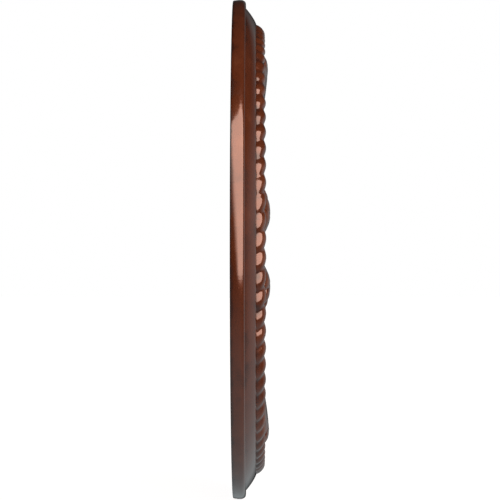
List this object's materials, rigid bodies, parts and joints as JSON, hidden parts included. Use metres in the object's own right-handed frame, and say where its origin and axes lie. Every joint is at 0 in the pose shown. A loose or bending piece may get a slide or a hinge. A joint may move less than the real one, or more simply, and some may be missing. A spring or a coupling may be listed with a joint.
{
  "type": "ceiling medallion",
  "caption": "Round moulded ceiling medallion with a stepped rim, a rope border, acanthus leaves and a plain round seat for a lamp's canopy.",
  "frame": {"origin": "centre of the flat back, in the plane that lies against the ceiling", "axes": "+Y out of the flat back, into the ceiling; the carved face looks along -Y, which points down once it is up; X and Z run across the round face, each along the midribs of two of the large leaves"},
  "size_m": [0.56, 0.0392, 0.56],
  "materials": {
    "paint": "glossy red-brown paint with a bronze cast over moulded foam"
  },
  "bodies": {
    "root": {"medallion": "paint"}
  },
  "joints": []
}
